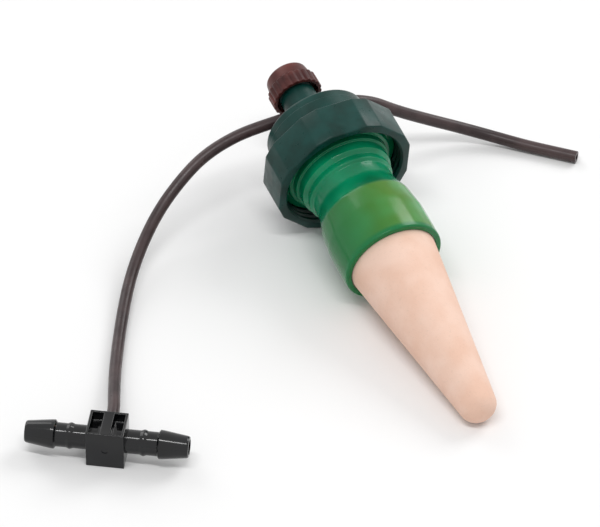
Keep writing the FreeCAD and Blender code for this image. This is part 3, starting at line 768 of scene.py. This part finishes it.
@dataclass
class AdjustingCap:
    """The brown cap: a knurled skirt under a smooth crown that draws in to its rounded top."""

    rim: float = Lie.NUT_LEVEL + 29.4
    tier: float = Lie.NUT_LEVEL + 33.5
    top: float = Lie.NUT_LEVEL + 37.3
    skirt: float = 6.9
    crown: float = 6.0
    crown_top: float = 5.6
    skirt_bore: float = 5.9
    thread_bore: float = 4.85
    roof: float = 1.2
    ribs: int = 22
    rib_depth: float = 0.32

    def build(self, finish: bpy.types.Material) -> None:
        """Build and dress the cap."""
        ceiling = self.top - self.roof
        corners = [
            Corner(self.skirt_bore, self.rim),
            Corner(self.skirt, self.rim, 0.3),
            Corner(self.skirt, self.rim + 1.3),
            Corner(self.skirt, self.rim + 2.6),
            Corner(self.skirt, self.tier, 0.4),
            Corner(self.crown + 0.1, self.tier, 0.2),
            Corner(self.crown - 0.1, self.tier + 1.9),
            Corner(self.crown_top, self.top, 0.9),
            Corner(2.6, self.top, 0.2),
            Corner(2.3, self.top - 0.25, 0.2),
            Corner(0, self.top - 0.25),
            Corner(0, ceiling),
            Corner(self.thread_bore, ceiling),
            Corner(self.thread_bore, self.rim + 2.4),
            Corner(self.skirt_bore, self.rim + 2.4),
            Corner(self.skirt_bore, self.rim),
        ]
        piece = turn_outline("cap_moulding", corners, self.ribs * 8)
        for vertex in piece.data.vertices:
            reach = math.hypot(vertex.co.x, vertex.co.y) / MM
            if reach < self.crown + 0.45 or vertex.co.z > self.tier * MM:
                continue
            wave = 0.5 - 0.5 * math.cos(self.ribs * math.atan2(vertex.co.y, vertex.co.x))
            shrink = 1 - self.rib_depth * wave ** 2 / reach
            vertex.co.x *= shrink
            vertex.co.y *= shrink
        settle(piece, Lie.matrix(), finish)
        hand_over(piece, Body.CAP, "brown_cap", "adjusting_cap")


@dataclass
class Tee:
    """The barbed tee that joins the drip tube to the supply hose."""

    width: float = 9.8
    depth: float = 9.0
    height: float = 11.1
    rib: float = 2.7
    wall: float = 0.7
    pocket: float = 2.7
    nipple: float = 0.78
    bore: float = 2.0
    centre: tuple[float, float] = (-90.8, -29.3)
    turn: float = math.radians(-33)

    def matrix(self) -> Matrix:
        """The matrix from the tee about its own centre to the tee on the surface."""
        place = Vector((self.centre[0], self.centre[1], self.height / 2)) * MM
        return Matrix.Translation(place) @ Matrix.Rotation(self.turn, 4, "Z")

    def build(self, finish: bpy.types.Material) -> bpy.types.Object:
        """Build and dress the tee.

        Returns:
            The tee, which is handed to the tube's build.
        """
        piece = block("tee_moulding", (self.width, self.depth, self.height), (0, 0, 0))
        half = (self.width - self.rib) / 2 - self.wall
        for side in (-1, 1):
            middle = side * (self.rib / 2 + half / 2)
            deep = (half, self.depth - 2 * self.wall, 2 * self.pocket)
            meet(piece, block("tee_pocket", deep, (middle, 0, self.height / 2)), Cut.REMOVE)
        soften(piece, 0.22)
        for side in (-1, 1):
            barb = turn_outline("tee_barb", self.barb_corners(), 64)
            barb.data.transform(Matrix.Rotation(side * math.pi / 2, 4, "Y"))
            meet(piece, barb, Cut.ADD)
        nipple = turn_outline("tee_nipple", rod(self.nipple, 2, 7.3), 32)
        nipple.data.transform(Matrix.Rotation(-math.pi / 2, 4, "X"))
        meet(piece, nipple, Cut.ADD)
        bore = turn_outline("tee_bore", rod(self.bore, -30, 30), 48)
        bore.data.transform(Matrix.Rotation(math.pi / 2, 4, "Y"))
        meet(piece, bore, Cut.REMOVE)
        dimple = [Corner(0, -1), Corner(0.9, -1), Corner(0.8, 0.15), Corner(0, 0.15)]
        gate = turn_outline("tee_gate", dimple, 32)
        gate.data.transform(
            Matrix.Translation((0, -self.depth / 2 * MM, 0)) @ Matrix.Rotation(-math.pi / 2, 4, "X")
        )
        meet(piece, gate, Cut.REMOVE)
        settle(piece, self.matrix(), finish)
        hand_over(piece, Body.ROOT, "black_tee", "tee_connector")
        return piece

    def barb_corners(self) -> list[Corner]:
        """The outline of one hose barb, from inside the block to its open nose."""
        return [
            Corner(0, 2.5),
            Corner(3.1, 2.5),
            Corner(3.1, 8.5, 0.15),
            Corner(3.4, 9.3, 0.2),
            Corner(3.4, 9.6, 0.2),
            Corner(3.1, 10.3, 0.15),
            Corner(3.1, 13.0, 0.15),
            Corner(3.75, 13.5, 0.12),
            Corner(3.7, 14.3, 0.2),
            Corner(2.85, 20.6, 0.5),
            Corner(2.6, 21.0, 0.2),
            Corner(0, 21.0),
        ]


@dataclass
class DripTube:
    """The two free stretches of soft drip tube, each on one smooth line."""

    radius: float = 1.6
    bore: float = 0.8
    reach: float = 5.2
    port: float = PORT_LEVEL
    exit_run: float = 6.0
    supply_route: tuple = (
        (-0.0206, 0.0472, 0.0210),
        (-0.0300, 0.0464, 0.0182),
        (-0.0379, 0.0438, 0.0144),
        (-0.0456, 0.0401, 0.0101),
        (-0.0531, 0.0340, 0.0062),
        (-0.0608, 0.0251, 0.0033),
        (-0.0687, 0.0125, 0.0019),
        (-0.0765, -0.0017, 0.0020),
        (-0.0818, -0.0130, 0.0042),
    )
    outlet_route: tuple = (
        (0.0183, 0.0463, 0.0198),
        (0.0254, 0.0451, 0.0147),
        (0.0346, 0.0439, 0.0092),
        (0.0430, 0.0418, 0.0050),
        (0.0504, 0.0375, 0.0026),
        (0.0569, 0.0316, 0.00175),
        (0.0623, 0.0265, 0.0017),
        (0.0671, 0.0219, 0.0017),
    )

    def build(
        self, finish: bpy.types.Material, tee: bpy.types.Object, tee_place: Matrix, depth: float
    ) -> None:
        """Build both stretches and the swollen end that grips the tee's nipple.

        Args:
            finish: the tube's material.
            tee: the tee's piece, not used.
            tee_place: the tee's matrix.
            depth: the tee block's depth, in mm.
        """
        face = tee_place @ Vector((0, depth / 2 * MM, 0))
        out = tee_place @ Vector((0, (depth / 2 + self.exit_run) * MM, 0))
        cuff = self.cuff(finish, face, (out - face).normalized())
        start = self.exit_point(-1)
        first = start - Vector((self.exit_run * MM, 0, 0))
        points = [start, first, *map(Vector, self.supply_route), out, face]
        self.stretch("supply_line", points, finish, "supply_tube", 0.1244)
        start = self.exit_point(1)
        first = start + Vector((self.exit_run * MM, 0, 0))
        points = [start, first, *map(Vector, self.outlet_route)]
        self.stretch("outlet_line", points, finish, "outlet_tube", 0.0743)

    def exit_point(self, side: int) -> Vector:
        """Where the tube leaves the tower, on the side of -1 or 1."""
        return Lie.matrix() @ (Vector((side * self.reach, 0, self.port)) * MM)

    def cuff(self, finish: bpy.types.Material, face: Vector, out: Vector) -> bpy.types.Object:
        """Turn the tube's swollen end, over the nipple."""
        corners = [
            Corner(1.2, 0),
            Corner(2.1, 0, 0.25),
            Corner(2.1, 1.4, 1),
            Corner(1.62, 3.0, 1),
            Corner(1.55, 3.3),
            Corner(1.2, 3.3),
            Corner(1.2, 0),
        ]
        piece = turn_outline("tube_cuff", corners, 48)
        turn = Vector((0, 0, 1)).rotation_difference(out).to_matrix().to_4x4()
        settle(piece, Matrix.Translation(face) @ turn, finish)
        hand_over(piece, Body.ROOT, "tube")
        return piece

    def stretch(
        self,
        name: str,
        points: list[Vector],
        finish: bpy.types.Material,
        node: str,
        length: float,
    ) -> None:
        """Make one stretch of tube on a smooth line through its route.

        Args:
            name: the piece's name.
            points: the route, in metres.
            finish: the tube's material.
            node: the node that it stands for.
            length: its real length, in metres.
        """
        curve = bpy.data.curves.new(name, "CURVE")
        curve.dimensions = "3D"
        curve.resolution_u = 10
        spline = curve.splines.new("NURBS")
        spline.points.add(len(points) - 1)
        for target, point in zip(spline.points, points):
            target.co = (*point, 1.0)
        spline.order_u = 3
        spline.use_endpoint_u = True
        piece = bpy.data.objects.new(name, curve)
        bpy.context.scene.collection.objects.link(piece)
        bpy.context.view_layer.update()
        graph = bpy.context.evaluated_depsgraph_get()
        line = bpy.data.meshes.new_from_object(piece.evaluated_get(graph))
        path = [tuple(vertex.co) for vertex in line.vertices]
        bpy.data.meshes.remove(line)
        curve.bevel_depth = self.radius * MM
        curve.bevel_resolution = 6
        only(piece)
        bpy.ops.object.convert(target="MESH")
        piece = bpy.context.object
        wall = piece.modifiers.new("wall", "SOLIDIFY")
        wall.thickness = (self.radius - self.bore) * MM
        wall.offset = -1
        bpy.ops.object.modifier_apply(modifier=wall.name)
        settle(piece, Matrix.Identity(4), finish)
        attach(piece, Body.ROOT.value)
        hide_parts(node)
        tuple(points[0])
        LOG.info("%s is a cord of %.1f mm", name, length / MM)


@dataclass(frozen=True)
class Studio:
    """A pale floor under soft light, with a white surround."""

    floor_size: float = 6.0
    white: float = 0.86
    fill: float = 0.58

    def build(self) -> None:
        """Make the floor, the surround and the lamps."""
        self.floor()
        self.surround()
        self.lamp("overhead_strip", (-0.22, -0.25, 1.05), (0.8, 0.07), 4.5)
        self.lamp("right_panel", (0.75, 0.25, 0.65), (0.5, 0.5), 3.6)
        self.lamp("back_panel", (-0.2, 0.9, 0.6), (0.6, 0.6), 2.0)
        bpy.context.scene.view_settings.view_transform = "Standard"

    def floor(self) -> None:
        bpy.ops.object.select_all(action="DESELECT")
        bpy.ops.mesh.primitive_plane_add(size=self.floor_size)
        plane = bpy.context.object
        plane.name = "floor"
        shader = Shader("floor")
        pale = (self.white, self.white, self.white, 1)
        shader.set(Base_Color=pale, Roughness=0.7, Specular_IOR_Level=0.1)
        plane.data.materials.append(shader.material)

    def surround(self) -> None:
        """Light evenly from all round, and show white to the camera and in gloss."""
        world = bpy.data.worlds.new("surround")
        bpy.context.scene.world = world
        world.use_nodes = True
        tree = world.node_tree
        background = tree.nodes["Background"]
        background.inputs["Strength"].default_value = self.fill
        shown = tree.nodes.new("ShaderNodeBackground")
        shown.inputs["Color"].default_value = (1, 1, 1, 1)
        background.inputs["Color"].default_value = (1, 1, 1, 1)
        rays = tree.nodes.new("ShaderNodeLightPath")
        mix = tree.nodes.new("ShaderNodeMixShader")
        best = rays.outputs["Is Camera Ray"]
        for name in ("Is Glossy Ray", "Is Transmission Ray"):
            larger = tree.nodes.new("ShaderNodeMath")
            larger.operation = "MAXIMUM"
            tree.links.new(best, larger.inputs[0])
            tree.links.new(rays.outputs[name], larger.inputs[1])
            best = larger.outputs[0]
        tree.links.new(best, mix.inputs["Fac"])
        tree.links.new(background.outputs["Background"], mix.inputs[1])
        tree.links.new(shown.outputs["Background"], mix.inputs[2])
        tree.links.new(mix.outputs["Shader"], tree.nodes["World Output"].inputs["Surface"])

    def lamp(self, name: str, place: tuple, size: tuple, power: float) -> None:
        """Hang one soft panel that faces the spike."""
        data = bpy.data.lights.new(name, "AREA")
        data.shape = "RECTANGLE"
        data.size, data.size_y = size
        data.energy = power
        lamp = bpy.data.objects.new(name, data)
        bpy.context.scene.collection.objects.link(lamp)
        lamp.location = place
        lamp.rotation_euler = (-Vector(place)).to_track_quat("-Z", "Y").to_euler()


def dress_inner_pieces() -> None:
    """Give the pieces inside the valve, which keep their own shapes, their finishes."""
    finishes = {
        "diaphragm": RUBBER.make(),
        "diaphragm_plunger": NATURAL.make(),
        "cement_ring": CEMENT.make(),
    }
    finishes["pressure_pin"] = finishes["diaphragm_plunger"]
    finishes["slip_washer"] = finishes["diaphragm_plunger"]
    for node, finish in finishes.items():
        mesh = frame["nodes"][node].data
        mesh.materials.clear()
        mesh.materials.append(finish)
        LOG.info("%s keeps its shape", node)


def main() -> None:
    """Build the scene round the frame."""
    logging.basicConfig(level=logging.INFO)
    Photograph().place_camera()
    dark_green = DARK_GREEN.make()
    tube_finish = TUBE.make()
    tee = Tee()
    tee_piece = tee.build(BLACK.make())
    DripTube().build(tube_finish, tee_piece, tee.matrix(), tee.depth)
    Cone().build(PorousCeramic().make(), ClearGreen().make())
    UnionNut().build(dark_green)
    ValveHead().build(dark_green)
    AdjustingCap().build(BROWN.make())
    dress_inner_pieces()
    valve_tube = frame["nodes"]["valve_tube"].data
    valve_tube.materials.clear()
    valve_tube.materials.append(tube_finish)
    Studio().build()


if __name__ == "__main__":
    main()
